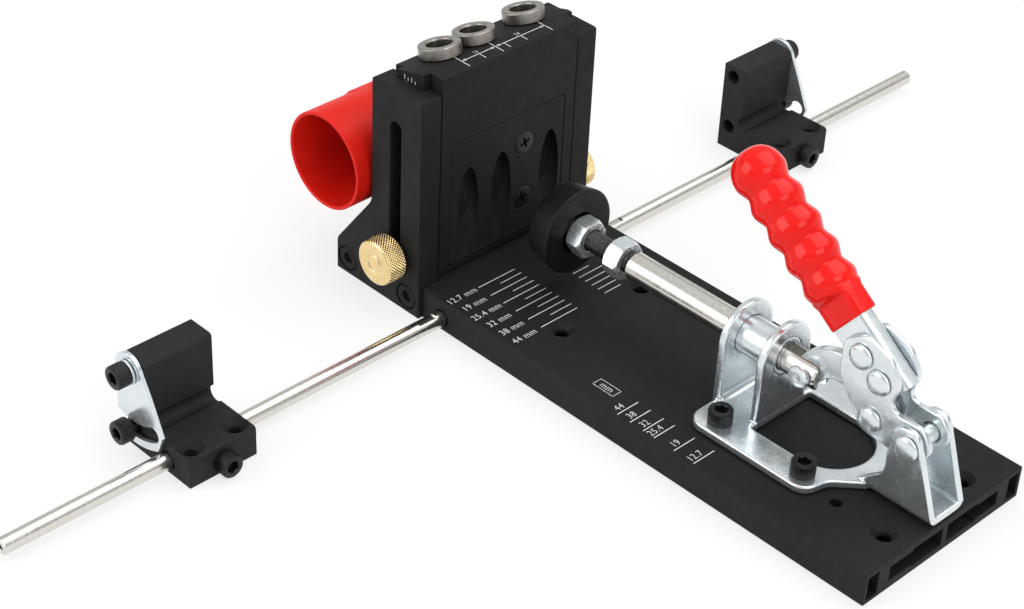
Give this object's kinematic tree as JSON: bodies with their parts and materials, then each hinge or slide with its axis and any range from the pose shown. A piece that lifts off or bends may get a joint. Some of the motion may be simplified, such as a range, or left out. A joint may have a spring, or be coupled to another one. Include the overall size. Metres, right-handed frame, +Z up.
{
  "type": "pocket hole jig",
  "caption": "Pocket hole drilling jig: tilted steel drill bushings in a height adjustable guide head, push-pull toggle clamp, dust port and side stops on rods.",
  "frame": {"origin": "centre of the base plate's underside", "axes": "+Z up, +X from the fence towards the clamp's rear pivot, +Y along the stop rods"},
  "size_m": [0.2672, 0.45, 0.1072],
  "materials": {
    "black_anodised": "black anodised, bead blasted satin",
    "black_screw": "black oxide",
    "bright_steel": "ground, bright",
    "zinc_plate": "bright zinc plated",
    "brass": "knurled, bright",
    "red_plastic": "moulded satin",
    "red_vinyl": "dipped gloss vinyl",
    "black_rubber": "matt moulded"
  },
  "bodies": {
    "base": {"base_plate": "black_anodised", "left_post": "black_anodised", "right_post": "black_anodised", "left_post_screw_front": "black_screw", "left_post_screw_rear": "black_screw", "right_post_screw_front": "black_screw", "right_post_screw_rear": "black_screw", "left_rod": "bright_steel", "right_rod": "bright_steel", "clamp_base": "zinc_plate", "plunger_sleeve": "zinc_plate", "pivot_rivet": "zinc_plate", "clamp_screw_1": "black_screw", "clamp_screw_2": "black_screw", "clamp_screw_3": "black_screw", "clamp_screw_4": "black_screw"},
    "guide_head": {"guide_block": "black_anodised", "face_plate": "black_anodised", "face_screw_1": "zinc_plate", "face_screw_2": "zinc_plate", "drill_bushing_1": "bright_steel", "drill_bushing_2": "bright_steel", "drill_bushing_3": "bright_steel", "dust_port": "red_plastic", "left_port_screw": "black_screw", "right_port_screw": "black_screw"},
    "left_knob": {"left_knob": "brass"},
    "right_knob": {"right_knob": "brass"},
    "handle": {"yoke_plate_near": "zinc_plate", "yoke_plate_far": "zinc_plate", "handle_bar": "zinc_plate", "grip": "red_vinyl", "handle_rivet_upper": "zinc_plate", "handle_rivet_lower": "zinc_plate", "link_rivet": "zinc_plate"},
    "link": {"link": "zinc_plate"},
    "plunger": {"plunger": "bright_steel", "plunger_pin_near": "zinc_plate", "plunger_pin_far": "zinc_plate"},
    "spindle": {"spindle_bolt": "zinc_plate", "cap_nut": "zinc_plate", "rubber_cap": "black_rubber"},
    "lock_nut": {"lock_nut": "zinc_plate"},
    "left_stop": {"left_stop_block": "black_anodised", "left_limit_screw": "black_screw", "left_pivot_screw": "black_screw", "left_pivot_washer": "zinc_plate"},
    "left_flip_plate": {"left_flip_plate": "zinc_plate"},
    "left_rod_screw": {"left_rod_screw": "black_screw"},
    "right_stop": {"right_stop_block": "black_anodised", "right_limit_screw": "black_screw", "right_pivot_screw": "black_screw", "right_pivot_washer": "zinc_plate"},
    "right_flip_plate": {"right_flip_plate": "zinc_plate"},
    "right_rod_screw": {"right_rod_screw": "black_screw"}
  },
  "joints": [
    {"name": "guide_slide", "type": "slide", "parent": "base", "child": "guide_head", "axis": [0, 0, 1], "range_m": [0, 0.05]},
    {"name": "left_knob_turn", "type": "hinge", "parent": "guide_head", "child": "left_knob", "pos_m": [-0.092, -0.0425, 0.0216], "axis": [0, -1, 0], "range_deg": [-180, 180]},
    {"name": "right_knob_turn", "type": "hinge", "parent": "guide_head", "child": "right_knob", "pos_m": [-0.092, 0.0425, 0.0216], "axis": [0, 1, 0], "range_deg": [-180, 180]},
    {"name": "handle_swing", "type": "hinge", "parent": "base", "child": "handle", "pos_m": [0.1096, 0, 0.0375], "axis": [0, 1, 0], "range_deg": [0, 135]},
    {"name": "plunger_slide", "type": "slide", "parent": "base", "child": "plunger", "axis": [1, 0, 0], "range_m": [0, 0.0312]},
    {"name": "link_swing", "type": "hinge", "parent": "handle", "child": "link", "pos_m": [0.0928, 0, 0.0375], "axis": [0, 1, 0], "range_deg": [-158.8, 0]},
    {"name": "spindle_slide", "type": "slide", "parent": "plunger", "child": "spindle", "axis": [1, 0, 0], "range_m": [-0.0127, 0.0085]},
    {"name": "lock_nut_turn", "type": "hinge", "parent": "plunger", "child": "lock_nut", "pos_m": [-0.02155, 0, 0.0375], "axis": [1, 0, 0], "range_deg": [-180, 180]},
    {"name": "left_stop_slide", "type": "slide", "parent": "base", "child": "left_stop", "axis": [0, 1, 0], "range_m": [-0.062, 0.078]},
    {"name": "left_flip_swing", "type": "hinge", "parent": "left_stop", "child": "left_flip_plate", "pos_m": [-0.0855, -0.1607, 0.0325], "axis": [0, -1, 0], "range_deg": [-32, 90]},
    {"name": "left_rod_screw_turn", "type": "hinge", "parent": "left_stop", "child": "left_rod_screw", "pos_m": [-0.0567, -0.147, 0.005], "axis": [1, 0, 0], "range_deg": [-180, 180]},
    {"name": "right_stop_slide", "type": "slide", "parent": "base", "child": "right_stop", "axis": [0, 1, 0], "range_m": [-0.077, 0.066]},
    {"name": "right_flip_swing", "type": "hinge", "parent": "right_stop", "child": "right_flip_plate", "pos_m": [-0.0855, 0.158, 0.0325], "axis": [0, -1, 0], "range_deg": [-32, 90]},
    {"name": "right_rod_screw_turn", "type": "hinge", "parent": "right_stop", "child": "right_rod_screw", "pos_m": [-0.0567, 0.1443, 0.005], "axis": [1, 0, 0], "range_deg": [-180, 180]}
  ],
  "couplings": [
    {"joint": "plunger_slide", "follows": "handle_swing", "m_per_rad": 0.013232},
    {"joint": "link_swing", "follows": "handle_swing", "ratio": -1.1759}
  ]
}
